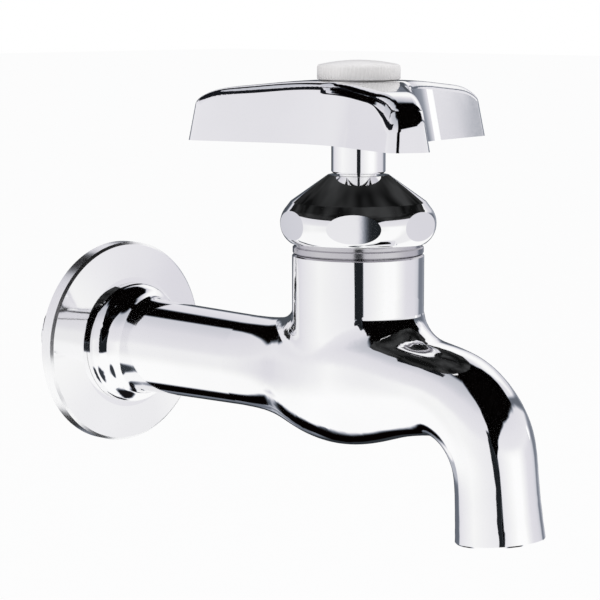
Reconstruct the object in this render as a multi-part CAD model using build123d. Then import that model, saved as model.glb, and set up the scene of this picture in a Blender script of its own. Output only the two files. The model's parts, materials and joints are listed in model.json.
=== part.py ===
from build123d import *
import os
from math import copysign, cos, exp, pi, radians, sin, sqrt, tan

# Wall-mounted screw-down tap, in millimetres.
# The wall is the plane y = 0 and +Y points into it. +Z is up, and the inlet axis is the
# Y axis. The tap stands out of the wall towards -Y.

# Distances along the inlet axis, measured out from the wall.
reach_to_neck = 74.4
tail_thread = 15.0
tail_lead_in = 1.0
tail_length = tail_thread + tail_lead_in
flange_depth = 4.7
flare_end = 15.5

# Inlet tail, for a half-inch pipe thread.
tail_r = 10.48
tail_relief_r = 9.7
inlet_bore_r = 6.8

# Wall flange.
flange_r = 22.9
flange_rim_depth = 3.4
flange_bevel = 0.55
flange_wall = 1.5
flange_bore_gap = 0.4

# Shoulder of the body that holds the flange, and the pipe behind it.
shoulder_r = 13.7
shoulder_round = 2.1
pipe_r = 10.42

# Belly of the casting: how far the round run swells under the neck, and over what length.
belly_start = reach_to_neck - 30.4
belly_start_r = 9.85
belly_far = reach_to_neck - 2.6
belly_swell = 4.72
belly_length_back = 14.3
belly_length_front = 15.3
belly_power = 2.4

# Shoulders: the top of the run is broad and flat where the spout leaves the neck.
shoulders_far = reach_to_neck + 8.6
shoulders_length = 9.0
shoulders_width = 1.4
shoulders_square = 1.2
section_points = 24
run_steps = 14

# Spout bend and its straight end.
bend_start = reach_to_neck + 20.6
bend_r = 16.2
bend_start_r = 9.3
bend_end_r = 8.4
spout_tip_r = 9.0
spout_lean = 5.5
spout_tip_z = -28.5
outlet_r = 5.6
mouth_r = 7.0
mouth_depth = 7.0

# Neck over the seat. Its foot blends into the casting, and the front of it is turned true
# down to a crease.
neck_r = 13.66
neck_crease = 13.7
neck_top = 25.85
neck_blend = 9.0
neck_edge = 0.35
neck_thread_r = 12.4
neck_thread_top = 33.0
neck_groove = 0.5
chamber_r = 9.6
chamber_top = 14.5

# Seat and the passage that feeds it from below.
seat_hole_r = 5.0
seat_rim_r = 6.5
seat_floor = 3.5
seat_top = 4.5
feed_r = 5.6
feed_z = -5.2
feed_start = reach_to_neck - 22.4
gallery_bottom = -3.0
turret_r = 6.9

# Clearances.
running_gap = 0.05
resting_gap = 0.05
edge_gap = 0.1

# Jumper: the loose valve that the spindle lifts off the seat.
jumper_stem_r = 2.9
jumper_stem_length = 16.0
jumper_disc_r = 7.4
jumper_disc_height = 1.6
rubber_r = 7.0
rubber_height = 3.0
stud_r = 1.95
washer_r = 3.7
washer_height = 0.6
nut_flats = 6.6
nut_height = 2.2
stud_spare = 0.6

# Spindle.
spindle_thread_r = 8.0
spindle_thread_height = 13.0
spindle_stem_r = 4.1
spindle_socket_spare = 1.5
tang_flats = 5.8
tang_start = 47.2
screw_r = 2.0
screw_hole_depth = 10.0

# Gland between the neck and the cap nut.
gland_washer_height = 1.1
gland_r = 11.3
gland_height = 3.6
gland_top_r = 6.2

# Cap nut: a barrel with six shallow flats under a cone.
nut_bottom = 26.0
nut_band_r = 13.55
nut_band_top = 27.5
nut_groove = 0.45
nut_groove_height = 0.75
barrel_r = 16.1
barrel_z = 31.75
barrel_bottom_r = 14.1
flats_apart = 30.3
flat_turn = -141.65
flat_height = 14.0
cone_base_r = 14.0
cone_base_z = 36.7
cone_top_r = 6.3
nut_top = 42.2
nut_top_round = 0.5

# Handle: three arms with hollow undersides round a boss.
handle_r = 35.9
arm_half_width = 4.1
arm_corner = 2.6
handle_turn = -2.2
notch_corner_r = 11.5
notch_round = 32.0
handle_bottom = 48.9
handle_top = 61.6
draft = 10.0
crown = [(0, 0), (12, 0.3), (24, 1.4), (31, 2.6), (34.4, 4.6), (36.6, 9.0), (37.6, 14)]
handle_edge_round = 2.0
handle_wall = 2.0
boss_r = 5.6
boss_bottom = 42.5
boss_web = 8.6

# Index cap and the screw beneath it.
cap_r = 8.54
cap_height = 3.1
cap_dome = 0.9
cap_plug_r = 6.9
cap_plug_depth = 3.2
cap_plug_wall = 1.2
recess_depth = 5.0
screw_head_r = 4.0
screw_head_height = 2.4
screw_slot = 1.0
recess_web = 2.0
tang_top = handle_top - recess_depth - recess_web

neck_y = -reach_to_neck
neck_axis = Location((0, neck_y, 0))


def round_z(radius, bottom, top, y=neck_y):
    """Upright cylinder between two heights, on the neck's axis unless told otherwise."""
    return Pos(0, y, bottom) * Cylinder(radius, top - bottom, align=(Align.CENTER, Align.CENTER, Align.MIN))


def round_y(radius, near, far, z=0.0):
    """Cylinder along Y between two distances from the wall."""
    place = Pos(0, -near, z) * Rot(90, 0, 0)
    return place * Cylinder(radius, far - near, align=(Align.CENTER, Align.CENTER, Align.MIN))


def turned_z(points):
    """Solid turned about the neck's axis from (radius, height) points of its half section."""
    section = make_face(Polyline(*[(r, 0, z) for r, z in points], close=True))
    return neck_axis * revolve(section, Axis.Z)


def centre_line(travel):
    """Distance from the wall, height and lean of the centre line, this far along from the belly's start."""
    last = 90 - spout_lean
    arc = bend_r * radians(last)
    level = bend_start - belly_start
    turned = min(max(travel - level, 0.0) / arc, 1.0) * last
    far = belly_start + min(travel, level) + bend_r * sin(radians(turned))
    height = -bend_r * (1 - cos(radians(turned)))
    beyond = max(travel - level - arc, 0.0)
    return far + beyond * cos(radians(last)), height - beyond * sin(radians(last)), turned


def disc(distance, radius, drop=0.0, lean=0.0):
    """Round section of the body, square to a run that leans down by the given angle."""
    normal = (0, -cos(radians(lean)), -sin(radians(lean)))
    plane = Plane(origin=(0, -distance, drop), x_dir=(1, 0, 0), z_dir=normal)
    return plane * Circle(radius)


def bend_point(turned):
    """Distance from the wall and height of the spout's centre line, part way round the bend."""
    a = radians(turned)
    return bend_start + bend_r * sin(a), -bend_r * (1 - cos(a))


def bell(offset, length, power):
    return exp(-abs(offset / length) ** power)


def run_radius(travel):
    """Outer radius of the body along its centre line, before the shoulders are added."""
    level = bend_start - belly_start
    arc = bend_r * radians(90 - spout_lean)
    if travel < level:
        plain = belly_start_r + (bend_start_r - belly_start_r) * travel / level
    elif travel < level + arc:
        plain = bend_start_r + (bend_end_r - bend_start_r) * ((travel - level) / arc) ** 2.5
    else:
        straight = run_length() - level - arc
        plain = bend_end_r + (spout_tip_r - bend_end_r) * ((travel - level - arc) / straight) ** 2
    offset = belly_start + travel - belly_far
    length = belly_length_front if offset > 0 else belly_length_back
    return plain + belly_swell * bell(offset, length, belly_power)


def run_length():
    arc_end = bend_start - belly_start + bend_r * radians(90 - spout_lean)
    return arc_end + (centre_line(arc_end)[1] - spout_tip_z) / cos(radians(spout_lean))


def run_section(travel):
    """Closed section of the body: round below, and squared off above at the shoulders."""
    far, height, turned = centre_line(travel)
    radius = run_radius(travel)
    broad = bell(belly_start + travel - shoulders_far, shoulders_length, 2)
    points = []
    for k in range(section_points):
        angle = 2 * pi * k / section_points
        across, up = cos(angle), sin(angle)
        power = 2 / (2 + shoulders_square * broad) if up > 0 else 1.0
        wide = (radius + shoulders_width * broad) * copysign(abs(across) ** power, across)
        points.append((wide, radius * copysign(abs(up) ** power, up)))
    plane = Plane(origin=(0, -far, height), x_dir=(1, 0, 0),
                  z_dir=(0, -cos(radians(turned)), -sin(radians(turned))))
    corners = [plane.from_local_coords((x, y, 0)) for x, y in points]
    return make_face(Spline(*corners, periodic=True))


def make_run():
    """Belly and spout as one smooth solid, made a little long at both ends and then trimmed."""
    full = run_length()
    spare = 2
    sections = [run_section(full * step / run_steps) for step in range(-spare, run_steps + spare + 1)]
    run = split(loft(sections), bisect_by=Plane(origin=(0, -belly_start, 0), z_dir=(0, -1, 0)), keep=Keep.TOP)
    far, height, turned = centre_line(full)
    tip = Plane(origin=(0, -far, height), z_dir=(0, -cos(radians(turned)), -sin(radians(turned))))
    return split(run, bisect_by=tip, keep=Keep.BOTTOM)


def spout_passage():
    """Bore that follows the centre line of the spout from the gallery to its mouth."""
    last = 90 - spout_lean
    start = (0, -bend_start, 0)
    far, height = bend_point(last)
    mid_far, mid_height = bend_point(last / 2)
    arc = ThreePointArc(start, (0, -mid_far, mid_height), (0, -far, height))
    drop = spout_tip_z - 3 - height
    end = Line((0, -far, height), (0, -far + drop * tan(radians(spout_lean)), height + drop))
    path = Wire([arc.edge(), end.edge()])
    return sweep(disc(bend_start, outlet_r), path=path)


def make_body():
    """The casting: threaded tail, pipe, belly, neck with its thread, seat, waterway and spout."""
    shoulder_start = flange_depth + resting_gap
    half = BuildLine()
    with half:
        Polyline(
            (0, tail_length),
            (tail_r - tail_lead_in, tail_length),
            (tail_r, tail_thread),
            (tail_r, 0),
            (tail_relief_r, tail_relief_r - tail_r),
            (tail_relief_r, -shoulder_start),
            (shoulder_r, -shoulder_start),
        )
        flat_end = (shoulder_r, -shoulder_start - 1.0)
        Line((shoulder_r, -shoulder_start), flat_end)
        taper = (belly_start_r - pipe_r) / (belly_start - flare_end)
        Spline(flat_end, (shoulder_r - shoulder_round, -shoulder_start - 4.3), (pipe_r, -flare_end),
               tangents=((0, -1), (taper, -1)))
        Polyline((pipe_r, -flare_end), (belly_start_r, -belly_start), (0, -belly_start), (0, tail_length))
    tail = revolve(make_face(half.line), Axis.Y)
    neck = round_z(neck_r, 0, neck_top)
    outside = tail + make_run() + neck
    joint = [e for e in outside.edges() if e.center().Z > 1 and e.bounding_box().size.Y > 10
             and e.bounding_box().max.Z < neck_top - 2 and e.bounding_box().size.Z > 3]
    outside = fillet(joint, neck_blend)
    turned = round_z(neck_r + neck_blend, neck_crease, neck_top) - round_z(neck_r, neck_crease, neck_top)
    outside -= turned & Pos(0, neck_y, 0) * Box(60, 60, 60, align=(Align.CENTER, Align.MAX, Align.CENTER))
    rim = [e for e in outside.edges().filter_by(GeomType.CIRCLE) if abs(e.center().Z - neck_top) < 1e-3]
    outside = chamfer(rim, neck_edge)
    outside += round_z(neck_thread_r - neck_groove, neck_top, neck_top + 1)
    outside += round_z(neck_thread_r, neck_top + 1, neck_thread_top)
    lip = outside.edges().filter_by(GeomType.CIRCLE).sort_by(Axis.Z)[-1]
    outside = chamfer(lip, 0.5)
    mouth_edge = outside.faces().sort_by(Axis.Z)[0].edges()
    outside = chamfer(mouth_edge, 0.3)

    inlet = round_y(inlet_bore_r, -tail_length - 1, feed_start)
    knee = Pos(0, -feed_start, 0) * Sphere(inlet_bore_r)
    feed_knee = reach_to_neck - 9
    sink = loft([disc(feed_start, inlet_bore_r - 0.3, 0, 12), disc(feed_knee, feed_r, feed_z, 12)])
    feed = round_y(feed_r, feed_knee, reach_to_neck, feed_z) + Pos(0, -feed_knee, feed_z) * Sphere(feed_r)
    under_seat = Pos(0, neck_y, feed_z) * Sphere(feed_r)
    seat_hole = round_z(seat_hole_r, feed_z, seat_top + 1)
    chamber = round_z(chamber_r, seat_floor, chamber_top) - round_z(seat_rim_r, seat_floor - 1, seat_top)
    turret = round_z(turret_r, gallery_bottom - 1, seat_floor)
    gallery = round_z(chamber_r, gallery_bottom, seat_floor) - turret
    front_half = Box(40, 40, 40, align=(Align.CENTER, Align.MAX, Align.CENTER))
    gallery &= Pos(0, neck_y - 2, 0) * front_half
    outlet = round_y(outlet_r, reach_to_neck + turret_r + 1, bend_start)
    spindle_thread = round_z(spindle_thread_r + running_gap, chamber_top - 1, neck_thread_top + 1)
    mouth_far, mouth_height = bend_point(90 - spout_lean)
    mouth_drop = spout_tip_z + mouth_depth - mouth_height
    mouth_y = -(mouth_far - mouth_drop * tan(radians(spout_lean)))
    mouth_axis = Location((0, mouth_y, mouth_height + mouth_drop), (-spout_lean, 0, 0))
    mouth = mouth_axis * Cylinder(mouth_r, mouth_depth + 2, align=(Align.CENTER, Align.CENTER, Align.MAX))
    hollow = [inlet, knee, sink, feed, under_seat, seat_hole, chamber, gallery, outlet, spindle_thread,
              spout_passage(), mouth]
    for cut in hollow:
        outside -= cut
    return outside


def make_flange():
    """Dished plate that hides the hole in the wall, held by the shoulder of the body."""
    bore = tail_r + flange_bore_gap
    rim = flange_rim_depth
    back = flange_depth - flange_wall
    lip = rim - flange_wall
    with BuildLine() as half:
        Polyline(
            (flange_r, 0),
            (flange_r, -rim + flange_bevel),
            (flange_r - flange_bevel, -rim),
            (shoulder_r + 1.2, -flange_depth),
            (bore, -flange_depth),
            (bore, -back),
            (shoulder_r, -back),
            (flange_r - flange_wall, -lip),
            (flange_r - flange_wall, 0),
            (flange_r, 0),
        )
    return revolve(make_face(half.line), Axis.Y)


def barrel_profile():
    """Outer half section of the cap nut, from its underside to the hole for the spindle."""
    band_top = nut_band_top
    groove_top = nut_band_top + nut_groove_height
    with BuildLine() as half:
        Polyline(
            (0, nut_bottom),
            (nut_band_r - 0.25, nut_bottom),
            (nut_band_r, nut_bottom + 0.25),
            (nut_band_r, band_top - 0.25),
            (nut_band_r - 0.25, band_top),
            (nut_band_r - nut_groove, band_top),
            (nut_band_r - nut_groove, groove_top),
            (barrel_bottom_r, groove_top),
        )
        barrel_end = (cone_base_r + 0.9, cone_base_z - 1.2)
        ThreePointArc((barrel_bottom_r, groove_top), (barrel_r, barrel_z), barrel_end)
        Polyline(barrel_end, (cone_base_r, cone_base_z), (cone_top_r, nut_top), (0, nut_top), (0, nut_bottom))
    return make_face(Plane.XZ * half.line)


def make_cap_nut():
    """Nut that screws over the neck and squeezes the gland packing round the spindle."""
    nut = neck_axis * revolve(barrel_profile(), Axis.Z)
    soft = [e for e in nut.edges().filter_by(GeomType.CIRCLE) if e.center().Z > cone_base_z - 1.5]
    nut = fillet(soft, nut_top_round)
    for k in range(6):
        side = Rot(0, 0, flat_turn + 60 * k) * Pos(flats_apart / 2, 0, barrel_z)
        nut -= neck_axis * side * Box(10, 40, flat_height, align=(Align.MIN, Align.CENTER, Align.CENTER))
    gland_bottom = neck_thread_top + gland_washer_height + resting_gap
    nut -= round_z(neck_thread_r + running_gap, nut_bottom - 1, gland_bottom)
    seat_r = gland_r + edge_gap
    gland_end = gland_bottom + gland_height + edge_gap
    nut -= turned_z([(0, gland_bottom - 0.5), (seat_r, gland_bottom - 0.5), (seat_r, gland_bottom),
                     (gland_top_r + edge_gap, gland_end), (0, gland_end)])
    nut -= round_z(spindle_stem_r + running_gap, nut_bottom, nut_top + 1)
    return nut


def make_gland():
    """Washer on the neck's rim and the wedge-shaped rubber squeezed over it."""
    hole = spindle_stem_r + running_gap
    washer_bottom = neck_thread_top + resting_gap / 2
    washer_top = washer_bottom + gland_washer_height
    washer = round_z(gland_r + 0.6, washer_bottom, washer_top) - round_z(hole, 0, 60)
    base = washer_top + resting_gap / 2
    top = base + gland_height
    wedge = turned_z([(hole, base), (gland_r, base), (gland_top_r, top), (hole, top)])
    return washer, wedge


def jumper_levels():
    """Heights of the jumper's parts: rubber underside, disc underside, disc top."""
    rubber_bottom = seat_top + resting_gap
    disc_bottom = rubber_bottom + rubber_height
    return rubber_bottom, disc_bottom, disc_bottom + jumper_disc_height


def make_jumper():
    """Loose valve: plate and stem in one, with its rubber, washer and nut on the stud below."""
    rubber_bottom, disc_bottom, disc_top = jumper_levels()
    washer_bottom = rubber_bottom - washer_height
    nut_bottom_z = washer_bottom - nut_height
    stud_bottom = nut_bottom_z - stud_spare
    plate = round_z(jumper_disc_r, disc_bottom, disc_top)
    plate = chamfer(plate.edges().group_by(Axis.Z)[-1], 0.5)
    stem = round_z(jumper_stem_r, disc_top - 0.5, disc_top + jumper_stem_length)
    stem = chamfer(stem.edges().group_by(Axis.Z)[-1], 0.5)
    stud = chamfer(round_z(stud_r, stud_bottom, disc_bottom + 0.3).edges().group_by(Axis.Z)[0], 0.3)
    jumper = plate + stem + stud
    rubber = round_z(rubber_r, rubber_bottom, disc_bottom) - round_z(stud_r, 0, 20)
    rubber = chamfer(rubber.edges().group_by(Axis.Z)[0].sort_by(SortBy.RADIUS)[-1], 0.4)
    washer = round_z(washer_r, washer_bottom, rubber_bottom) - round_z(stud_r, -5, 20)
    hexagon = RegularPolygon(nut_flats / 2, 6, major_radius=False)
    nut = Pos(0, neck_y, nut_bottom_z) * extrude(hexagon, nut_height) - round_z(stud_r, -5, 20)
    return jumper, rubber, washer, nut


def make_spindle():
    """Threaded spindle with a socket for the jumper's stem and a squared top for the handle."""
    disc_top = jumper_levels()[2]
    bottom = disc_top + edge_gap
    thread_top = bottom + spindle_thread_height
    body = round_z(spindle_thread_r, bottom, thread_top)
    body = chamfer(body.edges().filter_by(GeomType.CIRCLE), 0.6)
    body += round_z(spindle_stem_r, thread_top - 1, tang_start)
    tang = Pos(0, neck_y, tang_start) * Box(tang_flats, tang_flats, tang_top - tang_start,
                                            align=(Align.CENTER, Align.CENTER, Align.MIN))
    tang &= round_z(spindle_stem_r - 0.2, tang_start, tang_top)
    body += tang
    socket_top = disc_top + jumper_stem_length + spindle_socket_spare
    body -= round_z(jumper_stem_r + running_gap, bottom - 1, socket_top)
    body -= round_z(screw_r, tang_top - screw_hole_depth, tang_top + 1)
    return body


def arm_plan(inset=0.0):
    """Plan of the handle: three blunt arms joined by hollow sides, moved inwards by the inset."""
    corners = []
    reach = handle_r - inset
    half = arm_half_width - inset * 0.8
    notch = notch_corner_r - inset * 1.1
    for k in range(3):
        turn = radians(120 * k)
        for side in (-half, half):
            corners.append((reach * cos(turn) - side * sin(turn), reach * sin(turn) + side * cos(turn)))
        between = turn + pi / 3
        corners.append((notch * cos(between), notch * sin(between)))
    outline = Polyline(*corners, close=True)
    plan = make_face(outline)
    notches = [v for v in plan.vertices() if sqrt(v.X ** 2 + v.Y ** 2) < handle_r / 2]
    tips = [v for v in plan.vertices() if sqrt(v.X ** 2 + v.Y ** 2) > handle_r / 2]
    plan = fillet(notches, notch_round)
    tips = [v for v in plan.vertices() if sqrt(v.X ** 2 + v.Y ** 2) > reach - 1]
    return fillet(tips, min(arm_corner - inset * 0.5, half * 0.7))


def dome(lower=0.0):
    """Turned solid whose top is the handle's low crown, sunk by the given amount."""
    top = handle_top - lower
    edge_r, edge_drop = crown[-1]
    outer_r = edge_r + 4
    with BuildLine() as half:
        Spline(*[(r, top - drop) for r, drop in crown], tangents=((1, 0), (0.3, -1)))
        Polyline((edge_r, top - edge_drop), (outer_r, top - edge_drop), (outer_r, 40), (0, 40), (0, top))
    return revolve(make_face(Plane.XZ * half.line), Axis.Z)


def arms(inset, bottom, top, lower):
    """Three-armed block with drafted sides under the crown."""
    tall = top - bottom
    lean = tall * tan(radians(draft))
    low = Pos(0, 0, bottom) * arm_plan(inset)
    high = Pos(0, 0, top) * arm_plan(inset + lean)
    return loft([low, high], ruled=True) & dome(lower)


def make_handle():
    """Three-armed handle, hollow beneath, with a boss that grips the spindle's squared top."""
    block = arms(0.0, handle_bottom, handle_top + 1, 0.0)
    upper = [e for e in block.edges() if e.bounding_box().min.Z > handle_bottom + 3.5]
    block = fillet(upper, handle_edge_round)
    hollow = arms(handle_wall, handle_bottom - 0.5, handle_top + 1, handle_wall)
    web = Pos(0, 0, handle_bottom) * Cylinder(boss_web, 30, align=(Align.CENTER, Align.CENTER, Align.MIN))
    block -= hollow - web
    boss = Pos(0, 0, boss_bottom) * Cylinder(boss_r, handle_top - 6 - boss_bottom,
                                             align=(Align.CENTER, Align.CENTER, Align.MIN))
    boss = chamfer(boss.edges().group_by(Axis.Z)[0], 0.4)
    handle = neck_axis * Rot(0, 0, handle_turn) * (block + boss)
    floor = handle_top - recess_depth
    handle -= round_z(cap_plug_r + running_gap, floor, handle_top + 1)
    handle -= round_z(spindle_stem_r + running_gap, boss_bottom - 1, tang_start + 0.2)
    socket = Box(tang_flats + 0.1, tang_flats + 0.1, tang_top + 0.3 - tang_start,
                 align=(Align.CENTER, Align.CENTER, Align.MIN))
    socket &= Cylinder(spindle_stem_r, 20)
    handle -= Pos(0, neck_y, tang_start) * socket
    handle -= round_z(screw_r + 0.3, tang_start, floor + 1)
    return handle


def make_handle_screw():
    """Cross-slotted screw that holds the handle down on the spindle."""
    floor = handle_top - recess_depth
    head_bottom = floor + resting_gap
    head = round_z(screw_head_r, head_bottom, head_bottom + screw_head_height)
    head = chamfer(head.edges().group_by(Axis.Z)[-1], 0.7)
    slot_bottom = head_bottom + screw_head_height - 1.1
    slot = Box(screw_head_r * 1.1, screw_slot, 3, align=(Align.CENTER, Align.CENTER, Align.MIN))
    for turn in (0, 90):
        head -= Pos(0, neck_y, slot_bottom) * Rot(0, 0, turn) * slot
    return head + round_z(screw_r, tang_top - screw_hole_depth + 1, head_bottom)


def make_index_cap():
    """Push-in cap that hides the screw."""
    base = handle_top + resting_gap
    with BuildLine() as half:
        middle = (0, cap_height + cap_dome)
        ThreePointArc(middle, (cap_r * 0.55, cap_height + cap_dome * 0.7), (cap_r - 0.4, cap_height))
        Polyline((cap_r - 0.4, cap_height), (cap_r, cap_height - 0.4), (cap_r, 0), (0, 0), middle)
    cap = Pos(0, neck_y, base) * revolve(make_face(Plane.XZ * half.line), Axis.Z)
    plug = round_z(cap_plug_r, base - cap_plug_depth, base + 0.5)
    plug -= round_z(cap_plug_r - cap_plug_wall, 40, base)
    return cap + plug


def build_all():
    washer, wedge = make_gland()
    jumper, rubber, jumper_washer, jumper_nut = make_jumper()
    return {
        "body": make_body(),
        "wall_flange": make_flange(),
        "cap_nut": make_cap_nut(),
        "gland_washer": washer,
        "gland_packing": wedge,
        "jumper": jumper,
        "jumper_rubber": rubber,
        "jumper_washer": jumper_washer,
        "jumper_nut": jumper_nut,
        "spindle": make_spindle(),
        "handle": make_handle(),
        "handle_screw": make_handle_screw(),
        "index_cap": make_index_cap(),
    }


os.makedirs("parts", exist_ok=True)
for name, shape in build_all().items():
    print(name, "volume", round(shape.volume, 1), "solids", len(shape.solids()), "valid", shape.is_valid)
    export_step(shape, f"parts/{name}.step")
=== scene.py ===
import json
import math
from collections import namedtuple

import bmesh
import bpy
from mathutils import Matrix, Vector
from mathutils.bvhtree import BVHTree


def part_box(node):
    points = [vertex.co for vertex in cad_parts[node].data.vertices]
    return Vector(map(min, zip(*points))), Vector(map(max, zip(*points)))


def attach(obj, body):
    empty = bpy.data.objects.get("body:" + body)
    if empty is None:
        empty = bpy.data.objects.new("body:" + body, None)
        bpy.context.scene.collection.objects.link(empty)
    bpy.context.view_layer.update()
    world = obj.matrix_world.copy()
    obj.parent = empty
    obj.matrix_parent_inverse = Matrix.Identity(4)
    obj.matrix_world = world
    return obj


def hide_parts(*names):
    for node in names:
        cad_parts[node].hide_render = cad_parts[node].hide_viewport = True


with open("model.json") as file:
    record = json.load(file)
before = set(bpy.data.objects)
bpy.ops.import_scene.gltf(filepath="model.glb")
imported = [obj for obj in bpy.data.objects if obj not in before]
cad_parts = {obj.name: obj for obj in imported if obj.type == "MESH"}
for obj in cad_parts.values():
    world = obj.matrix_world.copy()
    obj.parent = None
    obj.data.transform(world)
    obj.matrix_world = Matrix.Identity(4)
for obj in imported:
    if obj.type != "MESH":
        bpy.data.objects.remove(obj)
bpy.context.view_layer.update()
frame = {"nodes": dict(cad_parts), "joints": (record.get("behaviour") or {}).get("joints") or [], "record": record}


# Sizes read from the frame: metres, and mm for the thread and the tail

def named(rows, name):
    """The row with this name, such as a joint or a mount."""
    return next(row for row in rows if row["name"] == name)


def bore_at(node, y):
    """Smallest radius round the inlet's axis of a node's vertices past this depth into the wall."""
    points = [v.co for v in frame["nodes"][node].data.vertices]
    return min(math.hypot(p.x, p.z) for p in points if p.y > y)


MM = 0.001
# How far in mm a search for vertices keeps off the size that it starts from.
MARGIN = 1.0
NECK = Vector(named(frame["joints"], "handle_turn")["pos_m"])
NUT_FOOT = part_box("cap_nut")[0].z
FLANGE_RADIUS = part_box("wall_flange")[1].x
THREAD = named(frame["record"]["mounts"], "inlet_thread")["dims"]
TAIL_END = round(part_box("body")[1].y / MM, 3)
TAIL_BORE = round(bore_at("body", (TAIL_END - MARGIN) * MM) / MM, 3)


# Shader nodes

class Tree:
    """Short way to write shader nodes as expressions."""

    def __init__(self, tree):
        self.tree = tree
        tree.nodes.clear()

    def node(self, kind, **settings):
        made = self.tree.nodes.new(kind)
        for key, value in settings.items():
            setattr(made, key, value)
        return made

    def put(self, value, socket):
        """Link a socket's value, or set a constant straight on the socket."""
        if isinstance(value, bpy.types.NodeSocket):
            self.tree.links.new(value, socket)
        else:
            socket.default_value = value

    def math(self, operation, *values):
        made = self.node("ShaderNodeMath", operation=operation)
        for value, socket in zip(values, made.inputs):
            self.put(value, socket)
        return made.outputs[0]

    def add(self, a, b):
        return self.math("ADD", a, b)

    def sub(self, a, b):
        return self.math("SUBTRACT", a, b)

    def mul(self, a, b):
        return self.math("MULTIPLY", a, b)

    def both(self, first, *others):
        """Masks multiplied, so only what is in all of them is left."""
        mask = first
        for other in others:
            mask = self.mul(mask, other)
        return mask

    def clip(self, value, most=None):
        """The value, but not under 0 and not over most."""
        value = self.math("MAXIMUM", value, 0.0)
        return value if most is None else self.math("MINIMUM", value, most)

    def length(self, a, b):
        return self.math("SQRT", self.add(self.mul(a, a), self.mul(b, b)))

    def step(self, value, start, end):
        """0 before start, 1 after end, smooth between; start may be above end."""
        made = self.node("ShaderNodeMapRange", interpolation_type="SMOOTHSTEP", clamp=True)
        self.put(value, made.inputs["Value"])
        self.put(start, made.inputs["From Min"])
        self.put(end, made.inputs["From Max"])
        return made.outputs["Result"]

    def span(self, value, start, end, edge):
        """1 between two limits, with edges this wide."""
        half = edge / 2
        started = self.step(value, start - half, start + half)
        return self.mul(started, self.step(value, end + half, end - half))

    def ramp(self, value, stops):
        """A colour read from (place, colour) stops, straight between them."""
        made = self.node("ShaderNodeValToRGB")
        items = made.color_ramp.elements
        while len(items) < len(stops):
            items.new(0.5)
        for item, (place, colour) in zip(items, stops):
            item.position = place
            item.color = (*colour, 1)
        self.put(value, made.inputs[0])
        return made.outputs[0]

    def two_tones(self, value, limits, dark, light):
        """Dark up to the first limit and light from the second."""
        return self.ramp(value, list(zip(limits, (dark, light))))

    def curve(self, value, points):
        """A number read from (place, number) points, straight between them."""
        first = points[0][0]
        reach = points[-1][0] - first
        low = min(level for place, level in points)
        high = max(level for place, level in points)
        stops = [((place - first) / reach, ((level - low) / (high - low),) * 3) for place, level in points]
        share = self.ramp(self.math("MULTIPLY_ADD", value, 1 / reach, -first / reach), stops)
        return self.math("MULTIPLY_ADD", share, high - low, low)

    def mix(self, share, a, b):
        made = self.node("ShaderNodeMix", data_type="FLOAT")
        self.put(share, made.inputs[0])
        self.put(a, made.inputs[2])
        self.put(b, made.inputs[3])
        return made.outputs[0]

    def mix_colour(self, share, a, b):
        made = self.node("ShaderNodeMix", data_type="RGBA")
        self.put(share, made.inputs[0])
        self.put(a, made.inputs[6])
        self.put(b, made.inputs[7])
        return made.outputs[2]

    def mix_shader(self, share, first, second):
        made = self.node("ShaderNodeMixShader")
        self.put(share, made.inputs[0])
        self.put(first.outputs[0], made.inputs[1])
        self.put(second.outputs[0], made.inputs[2])
        return made

    def noise(self, where, scale, detail, roughness=0.5):
        made = self.node("ShaderNodeTexNoise")
        self.put(where, made.inputs["Vector"])
        self.put(scale, made.inputs["Scale"])
        self.put(detail, made.inputs["Detail"])
        self.put(roughness, made.inputs["Roughness"])
        return made.outputs["Fac"]

    def bump(self, height, distance, strength=1.0, under=None):
        """Normal of a surface raised by height times distance, over another normal if one is given."""
        made = self.node("ShaderNodeBump")
        self.put(strength, made.inputs["Strength"])
        self.put(distance, made.inputs["Distance"])
        self.put(height, made.inputs["Height"])
        if under is not None:
            self.put(under, made.inputs["Normal"])
        return made.outputs[0]

    def principled(self, **inputs):
        """Principled shader; each keyword is a socket's name with underscores for its spaces."""
        made = self.node("ShaderNodeBsdfPrincipled")
        for name, value in inputs.items():
            self.put(value, made.inputs[name.replace("_", " ")])
        return made

    def glow(self, colour):
        made = self.node("ShaderNodeEmission")
        self.put(colour, made.inputs["Color"])
        self.put(1.0, made.inputs["Strength"])
        return made

    def place(self):
        """The point in the object's own frame."""
        return self.node("ShaderNodeTexCoord").outputs["Object"]

    def surface(self, shader):
        out = self.node("ShaderNodeOutputMaterial")
        self.put(shader.outputs[0], out.inputs["Surface"])


def new_material(name):
    """An empty material and its node tree."""
    material = bpy.data.materials.new(name)
    material.use_nodes = True
    return material, Tree(material.node_tree)


# Mirrored room

# Bearing 0 looks along +Y into the wall and 90 along +X. Heights are degrees over the horizon.
# Greys are on the screen's scale from 0 to 1.
# A span is (start, end, width of its edges), and a step (where it is 0, where it is 1).
DEGREES = 180 / math.pi
OVERHEAD = 95

# Grey of the cards round the horizon by bearing, and of the walls above them by height.
HORIZON = [
    (-180, 0.98), (-142, 0.90), (-122, 0.91), (-92, 0.93), (-60, 0.955), (-20, 0.89), (-4, 0.85), (7, 0.50),
    (16, 0.30), (46, 0.28), (60, 0.65), (78, 0.50), (93, 0.47), (101, 0.80), (113, 0.85), (136, 0.87),
    (162, 0.98), (180, 0.98),
]
WALLS = [(0, 0.93), (15, 0.89), (35, 0.865), (50, 0.78), (90, 0.66)]
WALLS_BEGIN = (2, 12)

# Lighter wall between the back of the room and the side of the spout, by height.
SIDE_LIGHT = [(0, 0.72), (10, 0.76), (20, 0.93), (30, 0.98), (40, 0.97), (50, 0.86), (65, 0.66)]
SIDE_BEARINGS = (48, 92, 10)
SIDE_BEGINS = (8, 16)

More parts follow.
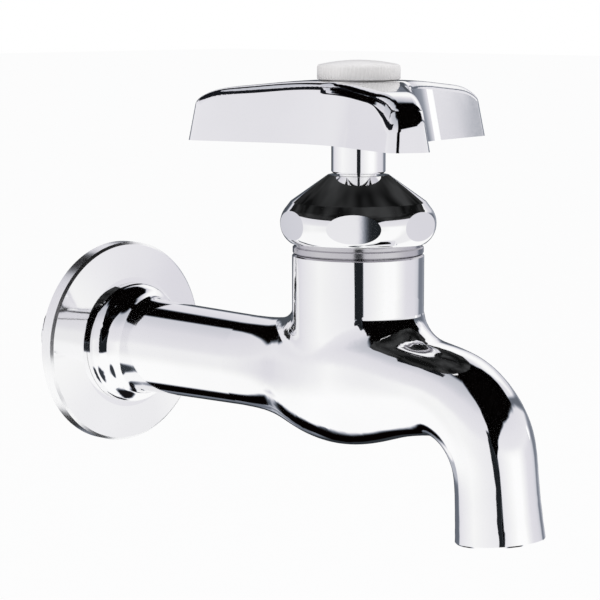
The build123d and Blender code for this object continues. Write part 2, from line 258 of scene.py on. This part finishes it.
# White floor, a little greyer to the right, where the flange mirrors it. It fades in downwards from
# FLOOR_TOP, and more slowly to the left: FLOOR_FULL gives both ends of that fade.
FLOOR_GREYS = (0.98, 0.925)
GREYER_BEARINGS = (118, 158, 16)
FLOOR_TOP = -7
FLOOR_FULL = (-16, -27)
SLOW_BEARINGS = (-128, -2, 16)

# A darker streak that rises behind the spout: its height by bearing, and how it fades off its middle.
STREAK = [(70, 2), (78, 7), (90, 16), (105, 28), (118, 35), (135, 38)]
STREAK_FADE = (5.5, 1.5)
STREAK_BEARINGS = (72, 132, 14)
STREAK_GREY = 0.42

# Dark crescent on the floor under the back of the room: its two edges by bearing.
CRESCENT_LOW = [(-2, -45), (6, -54), (15, -58), (30, -62), (46, -68), (60, -72)]
CRESCENT_HIGH = [(-2, -30), (5, -27), (22, -27), (30, -36), (44, -34), (58, -40)]
CRESCENT_FADE_LOW = (-5, 11)
CRESCENT_FADE_HIGH = (2, -3)
CRESCENT_BEARINGS = (2.5, 56, 9)
CRESCENT_GREY = 0.05

# Lower edge of the dark ceiling by bearing, and half the width of that edge by height.
CEILING = [
    (-180, 35), (-170, 31), (-162, 27), (-149, 15), (-138, -2), (-132, 10), (-131, 20), (-129, 42),
    (-124, 52), (-108, 68), (-60, 68), (-10, 68), (40, 62), (60, 64), (80, 57), (90, 49), (102, 39),
    (114, 33), (130, 36), (146, 38), (180, 35),
]
CEILING_EDGE = [(-90, 1.2), (30, 1.6), (45, 2.5), (60, 5), (90, 5)]
CEILING_GREY = 0.03

# The camera and its stand: a dark stripe that starts softly, ends sharply and has a soft top and foot.
STAND_START = (-141.2, -139.6)
STAND_END = (-124.85, -125.2)
STAND_HEIGHTS = (-13, 22, 3)
STAND_GREY = 0.15

# Tints by grey: the deepest dark is a warm one and mid greys are bluish.
TINTS = [
    (0.0, (1.0, 0.35, 0.30)), (0.06, (1.0, 0.45, 0.40)), (0.15, (0.80, 0.95, 1.12)),
    (0.45, (0.86, 0.95, 1.15)), (0.75, (0.95, 0.97, 1.06)), (0.86, (0.98, 0.965, 1.03)),
    (0.95, (1.0, 1.0, 1.0)),
]
SCREEN_GAMMA = 2.2
ROOM_LEVEL = 1.06
PLAIN_LIGHT = (0.80, 0.80, 0.82, 1)
WHITE = (1, 1, 1, 1)

Box = namedtuple("Box", "bearings bearing_edge heights height_edge grey")
Oval = namedtuple("Oval", "bearing height half_width half_height edge grey")

# Patches of the room from back to front, each laid over the ones before.
PATCHES = [
    # The edge of a white card, and the thin dark gap at its end.
    Box((102.6, 110.5), 0.3, (3.5, 11), 2, 1.0),
    Box((110.5, 111.0), 0.25, (3.5, 11), 2, 0.58),
    # The back of the room, seen past the neck: dark over and under a pale shelf.
    Box((-3, 25), 6, (18.5, OVERHEAD), 3, 0.04),
    Box((20, 56), 6, (-4, 14), 8, 0.32),
    Box((0, 52), 8, (-17, -6), 4, 0.42),
    Box((-1, 40), 8, (-24, -16), 4, 0.70),
    Oval(17, -24, 17, 2.2, 0.6, 0.95),
    Box((24, 50), 8, (-36, -24), 6, 0.45),
    Box((37, 60), 6, (-40, -6), 4, 0.22),
    # Dark things on the floor in front of the wall, to the left and to the right.
    Oval(-111, -52, 23, 14, 0.4, 0.24),
    Oval(125, -68, 52, 9, 0.5, 0.12),
]


class Room:
    """The mirrored room: a grey for every direction, made of layers from back to front."""

    def __init__(self, tree):
        self.t = tree
        unit = tree.node("ShaderNodeVectorMath", operation="NORMALIZE")
        tree.put(tree.node("ShaderNodeTexCoord").outputs["Generated"], unit.inputs[0])
        parts = tree.node("ShaderNodeSeparateXYZ")
        tree.put(unit.outputs[0], parts.inputs[0])
        x, y, z = parts.outputs
        self.height = tree.mul(tree.math("ARCSINE", z), DEGREES)
        self.bearing = tree.mul(tree.math("ARCTAN2", x, y), DEGREES)
        self.grey = tree.curve(self.bearing, HORIZON)

    def lay(self, mask, grey):
        self.grey = self.t.mix(mask, self.grey, grey)

    def box(self, patch):
        across = self.t.span(self.bearing, *patch.bearings, patch.bearing_edge)
        return self.t.mul(across, self.t.span(self.height, *patch.heights, patch.height_edge))

    def oval(self, patch):
        across = self.t.mul(self.t.sub(self.bearing, patch.bearing), 1 / patch.half_width)
        up = self.t.mul(self.t.sub(self.height, patch.height), 1 / patch.half_height)
        half = patch.edge / 2
        return self.t.step(self.t.length(across, up), 1 + half, 1 - half)


def lay_walls(room):
    t = room.t
    room.lay(t.step(room.height, *WALLS_BEGIN), t.curve(room.height, WALLS))
    side = t.both(t.span(room.bearing, *SIDE_BEARINGS), t.step(room.height, *SIDE_BEGINS))
    room.lay(side, t.curve(room.height, SIDE_LIGHT))


def lay_floor(room):
    t = room.t
    grey = t.mix(t.span(room.bearing, *GREYER_BEARINGS), *FLOOR_GREYS)
    full = t.mix(t.span(room.bearing, *SLOW_BEARINGS), *FLOOR_FULL)
    room.lay(t.step(room.height, FLOOR_TOP, full), grey)


def lay_streak(room):
    t = room.t
    off = t.math("ABSOLUTE", t.sub(room.height, t.curve(room.bearing, STREAK)))
    room.lay(t.both(t.step(off, *STREAK_FADE), t.span(room.bearing, *STREAK_BEARINGS)), STREAK_GREY)


def lay_patches(room):
    for patch in PATCHES:
        mask = room.oval(patch) if isinstance(patch, Oval) else room.box(patch)
        room.lay(mask, patch.grey)


def lay_crescent(room):
    t = room.t
    low = t.curve(room.bearing, CRESCENT_LOW)
    high = t.curve(room.bearing, CRESCENT_HIGH)
    over_low = t.step(room.height, *[t.add(low, shift) for shift in CRESCENT_FADE_LOW])
    under_high = t.step(room.height, *[t.add(high, shift) for shift in CRESCENT_FADE_HIGH])
    room.lay(t.both(over_low, under_high, t.span(room.bearing, *CRESCENT_BEARINGS)), CRESCENT_GREY)


def lay_ceiling_and_stand(room):
    """The dark ceiling, and under it the stripe of the camera's stand."""
    t = room.t
    ceiling = t.curve(room.bearing, CEILING)
    edge = t.curve(room.height, CEILING_EDGE)
    dark = t.step(room.height, t.sub(ceiling, edge), t.add(ceiling, edge))
    room.lay(dark, CEILING_GREY)
    across = t.both(t.step(room.bearing, *STAND_START), t.step(room.bearing, *STAND_END))
    room.lay(t.both(across, t.span(room.height, *STAND_HEIGHTS), t.sub(1.0, dark)), STAND_GREY)


def room_light(room):
    """The room's greys as tinted light."""
    t = room.t
    light = t.node("ShaderNodeVectorMath", operation="SCALE")
    t.put(t.ramp(room.grey, TINTS), light.inputs[0])
    t.put(t.mul(t.math("POWER", room.grey, SCREEN_GAMMA), ROOM_LEVEL), light.inputs["Scale"])
    return light.outputs[0]


def build_world():
    """Reflections see the room, the camera sees white, and all else gets plain light."""
    world = bpy.data.worlds.new("studio")
    bpy.context.scene.world = world
    world.use_nodes = True
    t = Tree(world.node_tree)
    room = Room(t)
    for lay in (lay_walls, lay_floor, lay_streak, lay_patches, lay_crescent, lay_ceiling_and_stand):
        lay(room)
    path = t.node("ShaderNodeLightPath").outputs
    light = t.mix_colour(path["Is Glossy Ray"], PLAIN_LIGHT, room_light(room))
    background = t.node("ShaderNodeBackground")
    t.put(t.mix_colour(path["Is Camera Ray"], light, WHITE), background.inputs["Color"])
    t.put(1.0, background.inputs["Strength"])
    out = t.node("ShaderNodeOutputWorld")
    t.put(background.outputs[0], out.inputs[0])


# Lamps, floor and cards

# Each lamp's name, place and size in metres, and watts. All aim at the middle of the tap.
LAMPS = [("key", (-0.5, -0.5, 0.7), 0.5, 1.5), ("fill", (0.7, -0.6, 0.4), 0.6, 0.7)]
LAMPS_AIM = Vector((0, -0.07, 0.02))

# Half the side of the floor, and its height, in metres.
FLOOR_HALF = 8.0
FLOOR_HEIGHT = -0.16

# Noises here and below are (scale in cycles per metre, detail) or (scale, detail, roughness), and
# limits are the noise values where the dark tone ends and the light one begins.
PAPER_TONES = ((0.90, 0.90, 0.90), (0.93, 0.93, 0.93))
PAPER_NOISE = (60.0, 4.0)
PAPER_LIMITS = (0.3, 0.7)
PAPER_GLOW = 0.9
PAPER_ROUGHNESS = 0.9

# A cloth's tint, the share of it that is left in its darker patches, and the noise of the patches.
Cloth = namedtuple("Cloth", "tint dim noise")
BLACK_CLOTH = Cloth((0.008, 0.009, 0.012), 0.93, (25.0, 2.0))
# The mottled dark cloth of the disc under the handle is painted shade, a painted reflection of the handle's shaded
# underside.
UNDER_HANDLE_SHADE_CLOTH = Cloth((0.045, 0.046, 0.047), 0.12, (90.0, 2.0))
CLOTH_LIMITS = (0.35, 0.65)
ARC_STEPS = 32

# Each card's name, bearings, radii and heights in mm, and cloth.
CARDS = [
    ("flag_left", (-100, -12), (60, 60), (77, 102), BLACK_CLOTH),
    # The disc under the handle is no studio flag: it is painted shade, a dark sheet where the handle's underside
    # is shaded, mirrored by the nut and hub.
    ("shade_disc_under_handle", (360, 0), (7.2, 34), (46.4, 46.4), UNDER_HANDLE_SHADE_CLOTH),
]


def spread(value, shares):
    """Each share of a value."""
    return [value * share for share in shares]


def add_object(name, data):
    made = bpy.data.objects.new(name, data)
    bpy.context.scene.collection.objects.link(made)
    return made


def build_lamp(name, place, size, watts):
    data = bpy.data.lights.new(name, "AREA")
    data.shape = "DISK"
    data.size = size
    data.energy = watts
    lamp = add_object(name, data)
    lamp.location = place
    lamp.rotation_mode = "QUATERNION"
    lamp.rotation_quaternion = (LAMPS_AIM - Vector(place)).to_track_quat("-Z", "Y")
    lamp.visible_glossy = False
    lamp.visible_camera = False


def floor_paper():
    """Pale paper that takes shadows, and looks nearly white to the camera."""
    material, t = new_material("floor_paper")
    tone = t.two_tones(t.noise(t.place(), *PAPER_NOISE), PAPER_LIMITS, *PAPER_TONES)
    paper = t.principled(Base_Color=tone, Roughness=PAPER_ROUGHNESS, Specular_IOR_Level=0.0)
    camera = t.node("ShaderNodeLightPath").outputs["Is Camera Ray"]
    t.surface(t.mix_shader(t.mul(camera, PAPER_GLOW), paper, t.glow(WHITE)))
    return material


def build_floor():
    mesh = bpy.data.meshes.new("floor")
    half, low = FLOOR_HALF, FLOOR_HEIGHT
    corners = [(-half, -half, low), (half, -half, low), (half, half, low), (-half, half, low)]
    mesh.from_pydata(corners, [], [(0, 1, 2, 3)])
    mesh.materials.append(floor_paper())
    floor = add_object("floor", mesh)
    floor.visible_glossy = False


def one_sided(name, cloth):
    """Cloth that shows on its front alone."""
    material, t = new_material(name)
    darker = spread(cloth.dim, cloth.tint)
    front = t.glow(t.two_tones(t.noise(t.place(), *cloth.noise), CLOTH_LIMITS, darker, cloth.tint))
    back = t.node("ShaderNodeBsdfTransparent")
    t.surface(t.mix_shader(t.node("ShaderNodeNewGeometry").outputs["Backfacing"], front, back))
    return material


def build_card(name, bearings, radii, heights, cloth):
    """Card bent round the neck's axis that only reflections see: a studio flag, or a dark sheet of painted shade.

    Upright if both radii are the same: then it faces the axis. Level if both heights are the same:
    then it faces down when the bearings fall."""
    first, last = bearings
    points, faces = [], []
    for k in range(ARC_STEPS + 1):
        a = math.radians(first + (last - first) * k / ARC_STEPS)
        for r, z in zip(radii, heights):
            points.append((r * MM * math.sin(a), NECK.y + r * MM * math.cos(a), z * MM))
        if k:
            faces.append((2 * k - 2, 2 * k, 2 * k + 1, 2 * k - 1))
    mesh = bpy.data.meshes.new(name)
    mesh.from_pydata(points, [], faces)
    mesh.materials.append(one_sided(name, cloth))
    card = add_object(name, mesh)
    card.visible_camera = False
    card.visible_diffuse = False
    card.visible_shadow = False
    card.visible_transmission = False
    card.visible_volume_scatter = False


def build_stage():
    build_world()
    build_floor()
    for card in CARDS:
        build_card(*card)
    for lamp in LAMPS:
        build_lamp(*lamp)


# Camera, fitted to the outlines in the photograph

# Sensor in mm, place and clip in metres, and in degrees the look's bearing and how far down it goes.
SENSOR_WIDTH = 36.0
PHOTO_PX = 600
FOCAL_PX = 2200
CAMERA_PLACE = (-0.337, -0.376, 0.077)
LOOK_BEARING = 46.65
LOOK_DOWN = 7.67
CLIP = (0.01, 50.0)


def build_camera():
    data = bpy.data.cameras.new("camera")
    data.sensor_fit = "HORIZONTAL"
    data.sensor_width = SENSOR_WIDTH
    data.lens = SENSOR_WIDTH * FOCAL_PX / PHOTO_PX
    data.clip_start, data.clip_end = CLIP
    camera = add_object("camera", data)
    side, down = math.radians(LOOK_BEARING), math.radians(LOOK_DOWN)
    forward = Vector((math.sin(side) * math.cos(down), math.cos(side) * math.cos(down), -math.sin(down)))
    camera.location = CAMERA_PLACE
    camera.rotation_mode = "QUATERNION"
    camera.rotation_quaternion = forward.to_track_quat("-Z", "Y")
    bpy.context.scene.camera = camera


# Materials

# Shares are what a roughness varies between, times its own value.
CLOUD_NOISE = (45.0, 2.0)
CLOUD_LIMITS = (0.35, 0.65)
CLOUD_DIM = 0.965
POLISH_NOISE = (900.0, 3.0, 0.6)
POLISH_SHARES = (0.75, 1.25)
WAVE_NOISE = (70.0, 1.0)
MARK_NOISE = (1600.0, 2.0)

TARNISH_NOISE = (180.0, 4.0, 0.6)
TARNISH_LIMITS = (0.3, 0.65)
RING_SCALE = 900.0
RING_WAVER = 1.2
RING_DEPTH = 0.01
RING_STRENGTH = 0.5
RING_SHARES = (0.8, 1.3)

MOTTLE_NOISE = (350.0, 3.0)
MOTTLE_LIMITS = (0.3, 0.7)
GRAIN_DETAIL = (3.0, 0.6)
GRAIN_STRENGTH = 0.6
GRAIN_SHARES = (0.85, 1.15)


def chrome(name, tint, roughness, wave, mark, relief=None):
    """Polished plate: two close tints, waves of the casting and fine polishing marks, both in mm.

    relief(t, where) may give a height in mm, for edges that are polished down."""
    material, t = new_material(name)
    where = t.place()
    colour = t.two_tones(t.noise(where, *CLOUD_NOISE), CLOUD_LIMITS, spread(CLOUD_DIM, tint), tint)
    polish = t.mix(t.noise(where, *POLISH_NOISE), *spread(roughness, POLISH_SHARES))
    edges = t.bump(relief(t, where), MM) if relief else None
    waves = t.bump(t.noise(where, *WAVE_NOISE), wave * MM, under=edges)
    marks = t.bump(t.noise(where, *MARK_NOISE), mark * MM, under=waves)
    t.surface(t.principled(Base_Color=colour, Metallic=1.0, Roughness=polish, Normal=marks))
    return material


def machined(name, light, dark, roughness):
    """Turned metal: fine rings along the upright axis, with a little tarnish."""
    material, t = new_material(name)
    where = t.place()
    rings = t.node("ShaderNodeTexWave", wave_type="BANDS", bands_direction="Z")
    t.put(where, rings.inputs["Vector"])
    t.put(RING_SCALE, rings.inputs["Scale"])
    t.put(RING_WAVER, rings.inputs["Distortion"])
    ring = rings.outputs["Fac"]
    colour = t.two_tones(t.noise(where, *TARNISH_NOISE), TARNISH_LIMITS, dark, light)
    polish = t.mix(ring, *spread(roughness, RING_SHARES))
    normal = t.bump(ring, RING_DEPTH * MM, RING_STRENGTH)
    t.surface(t.principled(Base_Color=colour, Metallic=1.0, Roughness=polish, Normal=normal))
    return material


def moulded(name, light, dark, roughness, grain_scale, grain_depth, coat=0.0):
    """Plastic, rubber, or the rough hollow of the handle, dark as painted shade: faint mottling and a grain, its
    depth in mm.
    """
    material, t = new_material(name)
    where = t.place()
    colour = t.two_tones(t.noise(where, *MOTTLE_NOISE), MOTTLE_LIMITS, dark, light)
    grain = t.noise(where, grain_scale, *GRAIN_DETAIL)
    finish = t.mix(grain, *spread(roughness, GRAIN_SHARES))
    normal = t.bump(grain, grain_depth * MM, GRAIN_STRENGTH)
    t.surface(t.principled(Base_Color=colour, Roughness=finish, Coat_Weight=coat, Normal=normal))
    return material


# Relief of the handle's near arm, in mm and degrees

# The crown's height on the axis, and its drop by distance from the axis.
CROWN_TOP = 61.6
CROWN_DROP = [(0, 0), (12, 0.3), (24, 1.4), (31, 2.6), (33.4, 3.8), (40, 3.8)]

# Bearing of the arm, where it and its tip begin along it, and the places of its corners across it.
NEAR_ARM = -147.8
ARM_BEGINS = (5, 9)
TIP_BEGINS = (25, 34)
CORNERS = (-10, 8)

# The solid's own rounding ends this far under the crown.
SOLID_EDGE = 2.0
# The relief starts lower: this far under the crown, and this much further at the tip's two corners.
POLISHED = 2.4
POLISHED_TIP = (0.6, 3.4)
# Upwards it bends to its steepest slope, and keeps it for this length.
STEEPEST = 0.6
LONGEST_SLOPE = 1.0


def along(t, x, y, bearing):
    """Distance from the axis towards a bearing."""
    a = math.radians(bearing)
    return t.add(t.mul(x, math.sin(a)), t.mul(y, math.cos(a)))


def under_crown(t, x, y, z):
    """Depth of a point under the handle's crown."""
    return t.sub(t.sub(CROWN_TOP, t.curve(t.length(x, y), CROWN_DROP)), z)


def handle_relief(t, where):
    """Softer edge of one arm under its crown: polishing has rounded it down, most of all at its tip."""
    parts = t.node("ShaderNodeSeparateXYZ")
    t.put(where, parts.inputs[0])
    x = t.mul(parts.outputs[0], 1 / MM)
    y = t.math("MULTIPLY_ADD", parts.outputs[1], 1 / MM, -NECK.y / MM)
    z = t.mul(parts.outputs[2], 1 / MM)
    out = along(t, x, y, NEAR_ARM)
    side = along(t, x, y, NEAR_ARM + 90)
    tip = t.mul(t.step(out, *TIP_BEGINS), t.mix(t.step(side, *CORNERS), *POLISHED_TIP))
    start = t.add(tip, POLISHED)
    into = t.clip(t.sub(start, under_crown(t, x, y, z)))
    bend = t.sub(start, SOLID_EDGE)
    curved = t.math("MINIMUM", into, bend)
    straight = t.clip(t.sub(into, bend), LONGEST_SLOPE)
    bend_fall = t.mul(t.mul(curved, curved), t.math("DIVIDE", STEEPEST / 2, bend))
    fall = t.add(bend_fall, t.mul(straight, STEEPEST))
    return t.mul(fall, t.mul(t.step(out, *ARM_BEGINS), -1.0))


# Meshes made here

# Edges over these angles in degrees stay sharp.
CAP_SHARP = 42
THREAD_SHARP = 60

# Index cap. Its rounds are quarter ellipses, (half width, half height). Its dome is a paraboloid with
# rings of vertices at DOME_SHARES of its radius.
CAP_HEIGHT = 4.0 * MM
FOOT_ROUND = (0.35 * MM, 0.25 * MM)
SHOULDER_ROUND = (0.5 * MM, 0.65 * MM)
SHOULDER_HEIGHT = 2.45 * MM
DOME_SHARES = (0.9, 0.73, 0.51, 0.26, 0.08)

# Upright ribs: how deep their grooves are, how far inwards they fade out, and the share of a groove
# that is filled at each vertex of one rib.
RIBS = 64
RIB_DEPTH = 0.16 * MM
RIB_FADE = 0.35 * MM
RIB_SHAPE = (0.0, 0.25, 0.85, 1.0, 0.85, 0.25)

# The cap's underside: the radius of its innermost ring, then its plug, with a bevel inside, a lead-in
# outside, and (across, up) of the bevel at its root.
CAP_MIDDLE = 0.6 * MM
PLUG_OUTSIDE = 6.9 * MM
PLUG_INSIDE = 5.7 * MM
PLUG_BEVEL = 0.2 * MM
PLUG_LEAD_IN = 0.3 * MM
PLUG_ROOT = (0.2 * MM, 0.15 * MM)
# The rims of both skins join where they are this near.
WELD = 0.001 * MM

# Inlet thread, in mm. Its groove starts this far into the wall, and is full after this length.
PITCH = 1.814
THREAD_DEPTH = 1.0
GROOVE_SHARPNESS = 1.3
RUN_IN = (0.2, 1.6)
AROUND = 120
ROWS_PER_PITCH = 12


def finish_mesh(name, bm, sharp, material):
    """Object with this mesh, smooth apart from edges over an angle in degrees."""
    mesh = bpy.data.meshes.new(name)
    bm.to_mesh(mesh)
    bm.free()
    for polygon in mesh.polygons:
        polygon.use_smooth = True
    mesh.set_sharp_from_angle(angle=math.radians(sharp))
    mesh.materials.append(material)
    return add_object(name, mesh)


def join_rings(bm, rings):
    """Skin between rings of vertices that have the same count."""
    for lower, upper in zip(rings, rings[1:]):
        for k in range(len(lower)):
            n = (k + 1) % len(lower)
            bm.faces.new((lower[k], lower[n], upper[n], upper[k]))


def close_ring(bm, ring, height):
    """Fan from a ring to a point on the neck's axis."""
    middle = bm.verts.new((0, NECK.y, height))
    for k in range(len(ring)):
        bm.faces.new((ring[k], ring[(k + 1) % len(ring)], middle))


def turned(bm, profile, count, radius_at):
    """Skin over (radius, height) points turned round the neck's axis, and its rings of vertices.

    radius_at gives a vertex its radius, from its number in the ring and the point's radius."""
    rings = []
    for radius, height in profile:
        ring = []
        for k in range(count):
            a = 2 * math.pi * k / count
            r = radius_at(k, radius)
            ring.append(bm.verts.new((r * math.cos(a), NECK.y + r * math.sin(a), height)))
        rings.append(ring)
    join_rings(bm, rings)
    return rings


def ellipse_points(centre_r, centre_z, halves, start, end, steps):
    """(radius, height) points on a stretch of an ellipse; angles in degrees, 0 points outwards, 90 up."""
    points = []
    for k in range(steps + 1):
        a = math.radians(start + (end - start) * k / steps)
        points.append((centre_r + halves[0] * math.cos(a), centre_z + halves[1] * math.sin(a)))
    return points


def cap_outside(outer, base, top):
    """(radius, height) points of the cap's outside, from its base to near the middle of its dome."""
    foot = ellipse_points(outer - FOOT_ROUND[0], base + FOOT_ROUND[1], FOOT_ROUND, -90, 0, 2)
    shoulder = ellipse_points(outer - SHOULDER_ROUND[0], base + SHOULDER_HEIGHT, SHOULDER_ROUND, 0, 90, 3)
    dome_edge, dome_height = shoulder[-1]
    dome = [(dome_edge * share, top - (top - dome_height) * share ** 2) for share in DOME_SHARES]
    return foot + shoulder + dome


def cap_underside(outer, base, low):
    """(radius, height) points of the cap's underside and its tubular plug, from the middle outwards."""
    return [
        (CAP_MIDDLE, base),
        (PLUG_INSIDE, base), (PLUG_INSIDE, low + PLUG_BEVEL), (PLUG_INSIDE + PLUG_BEVEL, low),
        (PLUG_OUTSIDE - PLUG_LEAD_IN, low), (PLUG_OUTSIDE, low + PLUG_LEAD_IN),
        (PLUG_OUTSIDE, base - PLUG_ROOT[1]), (PLUG_OUTSIDE + PLUG_ROOT[0], base),
        (outer - FOOT_ROUND[0], base),
    ]


def build_index_cap(material):
    """The white cap with its fine upright ribs and low dome, and the plug that holds it."""
    low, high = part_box("index_cap")
    outer = (high.x - low.x) / 2
    base = high.z - CAP_HEIGHT
    per_rib = len(RIB_SHAPE)
    count = RIBS * per_rib

    def ribbed(k, radius):
        share = max(0.0, 1 - (outer - radius) / RIB_FADE)
        return radius - RIB_DEPTH * share * (1 - RIB_SHAPE[k % per_rib])

    bm = bmesh.new()
    outside = turned(bm, cap_outside(outer, base, high.z), count, ribbed)
    close_ring(bm, outside[-1], high.z)
    underside = turned(bm, cap_underside(outer, base, low.z), count, lambda k, radius: radius)
    close_ring(bm, underside[0], base)
    bmesh.ops.remove_doubles(bm, verts=outside[0] + underside[-1], dist=WELD)
    bmesh.ops.recalc_face_normals(bm, faces=bm.faces)
    cap = finish_mesh("index_cap_ribbed", bm, CAP_SHARP, material)
    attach(cap, "control")
    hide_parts("index_cap")


def hide_plain_tail(body):
    """Mask the plain cylinder that the CAD has over the crests of the thread."""
    first = (THREAD["length_mm"] - MARGIN) * MM
    inner = (TAIL_BORE + MARGIN) * MM
    rim = [v.index for v in body.data.vertices if v.co.y > first and math.hypot(v.co.x, v.co.z) > inner]
    body.vertex_groups.new(name="plain_tail").add(rim, 1.0, "REPLACE")
    mask = body.modifiers.new("plain_tail", "MASK")
    mask.vertex_group = "plain_tail"
    mask.invert_vertex_group = True


def thread_radius(y, share):
    """Radius in mm of the thread at this depth into the wall and share of a turn.

    Past the thread's length the end has a chamfer of 45 degrees."""
    crest = THREAD["r_mm"]
    wave = 0.5 - 0.5 * math.cos(2 * math.pi * (y / PITCH - share))
    begins, length = RUN_IN
    groove = wave ** GROOVE_SHARPNESS * THREAD_DEPTH * min(1.0, max(0.0, (y - begins) / length))
    chamfer = max(0.0, y - THREAD["length_mm"])
    return crest - max(groove, chamfer)


def thread_ring(bm, y, radius_at):
    """Ring of vertices round the inlet's axis; radius_at gives the radius for a share of a turn."""
    ring = []
    for k in range(AROUND):
        a = 2 * math.pi * k / AROUND
        r = radius_at(k / AROUND) * MM
        ring.append(bm.verts.new((r * math.sin(a), y * MM, r * math.cos(a))))
    return ring


def build_tail(material):
    """Real ridges on the inlet tail, as a skin from the wall's plane round the end to the bore."""
    hide_plain_tail(frame["nodes"]["body"])
    rows = round(TAIL_END / PITCH * ROWS_PER_PITCH)
    bm = bmesh.new()
    rings = []
    for j in range(rows + 1):
        y = TAIL_END * j / rows
        rings.append(thread_ring(bm, y, lambda share: thread_radius(y, share)))
    rings.append(thread_ring(bm, TAIL_END, lambda share: TAIL_BORE))
    join_rings(bm, rings)
    bmesh.ops.recalc_face_normals(bm, faces=bm.faces)
    # The skin is open, so its faces may all look inwards: the one at its end has to look along +Y.
    if max(bm.faces, key=lambda f: f.calc_center_median().y).normal.y < 0:
        bmesh.ops.reverse_faces(bm, faces=bm.faces)
    tail = finish_mesh("inlet_thread_ridges", bm, THREAD_SHARP, material)
    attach(tail, "tap")


# Finishes of the CAD nodes

# The neck's groove starts this far under the nut's foot, and the nut's dull band ends this far over it.
GROOVE_BELOW_NUT = 0.5 * MM
NUT_BAND = 2.3 * MM
# The flange's rim is this wide, and has no face that looks along Y by more than this share.
RIM_WIDTH = 1.9 * MM
FLAT_NORMAL = 0.93
# The spindle is plated from this height up, where it shows in the nut's cone.
HUB_CHROME_FROM = 24 * MM
# The handle's hollow, darkened as painted shade: how near its opposite wall is, and from what height
# up a face that looks down by at least this much is in it too.
HOLLOW_REACH = 14 * MM
HOLLOW_OVER = 50 * MM
RAY_START = 0.02 * MM
FACES_DOWN = -0.5


def dress(node, material, second=None, chosen=None):
    """A node's material, and a second one for the faces for which chosen(middle, normal) holds."""
    mesh = frame["nodes"][node].data
    mesh.materials.clear()
    mesh.materials.append(material)
    if second is None:
        return
    mesh.materials.append(second)
    for polygon in mesh.polygons:
        if chosen(polygon.center, polygon.normal):
            polygon.material_index = 1


def on_neck_groove(middle, normal):
    return middle.z > NUT_FOOT - GROOVE_BELOW_NUT


def on_nut_band(middle, normal):
    return middle.z < NUT_FOOT + NUT_BAND


def on_flange_rim(middle, normal):
    """The flange's edge, apart from its flat face and its back."""
    return abs(normal.y) < FLAT_NORMAL and math.hypot(middle.x, middle.z) > FLANGE_RADIUS - RIM_WIDTH


def on_hub(middle, normal):
    return middle.z > HUB_CHROME_FROM


def inside_handle():
    """Test for the handle's hollow: a face that looks at another one from close by, or down from high up."""
    mesh = frame["nodes"]["handle"].data
    tree = BVHTree.FromPolygons([v.co for v in mesh.vertices], [p.vertices for p in mesh.polygons])

    def test(middle, normal):
        hit = tree.ray_cast(middle + normal * RAY_START, normal, HOLLOW_REACH)
        return hit[0] is not None or (normal.z < FACES_DOWN and middle.z > HOLLOW_OVER)

    return test


FINISH = {
    "casting": chrome("chrome_casting", (0.965, 0.965, 0.97), 0.05, 0.006, 0.0003),
    "plate": chrome("chrome_flange", (0.965, 0.965, 0.97), 0.05, 0.003, 0.0003),
    "rim": chrome("chrome_rim", (0.96, 0.96, 0.965), 0.22, 0.003, 0.0003),
    "collar": chrome("chrome_collar", (0.60, 0.59, 0.62), 0.16, 0.003, 0.0006),
    "nut": chrome("chrome_nut", (0.96, 0.96, 0.965), 0.018, 0.003, 0.0001),
    "grip": chrome("chrome_handle", (0.965, 0.965, 0.97), 0.05, 0.005, 0.0003, handle_relief),
    # The handle's hollow: a rough, dull finish whose near-black colour is painted shade, in the recess and under
    # the crown.
    "hollow_shade": moulded("rough_hollow_painted_shade", (0.075, 0.072, 0.070), (0.045, 0.043, 0.042), 0.55, 700.0, 0.03),
    "brass": machined("machined_brass", (0.80, 0.62, 0.32), (0.66, 0.48, 0.22), 0.28),
    "steel": machined("bright_steel", (0.70, 0.70, 0.71), (0.58, 0.58, 0.60), 0.25),
    "rubber": moulded("black_rubber", (0.035, 0.035, 0.036), (0.02, 0.02, 0.02), 0.75, 900.0, 0.02),
    "plastic": moulded("white_plastic", (0.90, 0.885, 0.87), (0.86, 0.845, 0.83), 0.42, 1400.0, 0.006, 0.15),
}


def dress_outside():
    dress("body", FINISH["casting"], FINISH["collar"], on_neck_groove)
    dress("wall_flange", FINISH["plate"], FINISH["rim"], on_flange_rim)
    dress("cap_nut", FINISH["nut"], FINISH["collar"], on_nut_band)
    dress("handle", FINISH["grip"], FINISH["hollow_shade"], inside_handle())
    dress("spindle", FINISH["brass"], FINISH["nut"], on_hub)


def dress_works():
    """The pieces under the handle, the nut and the neck."""
    for node in ("gland_washer", "jumper", "jumper_washer", "jumper_nut"):
        dress(node, FINISH["brass"])
    for node in ("gland_packing", "jumper_rubber"):
        dress(node, FINISH["rubber"])
    dress("handle_screw", FINISH["steel"])


dress_outside()
dress_works()
build_tail(FINISH["casting"])
build_index_cap(FINISH["plastic"])
build_stage()
build_camera()
bpy.context.scene.view_settings.view_transform = "Standard"
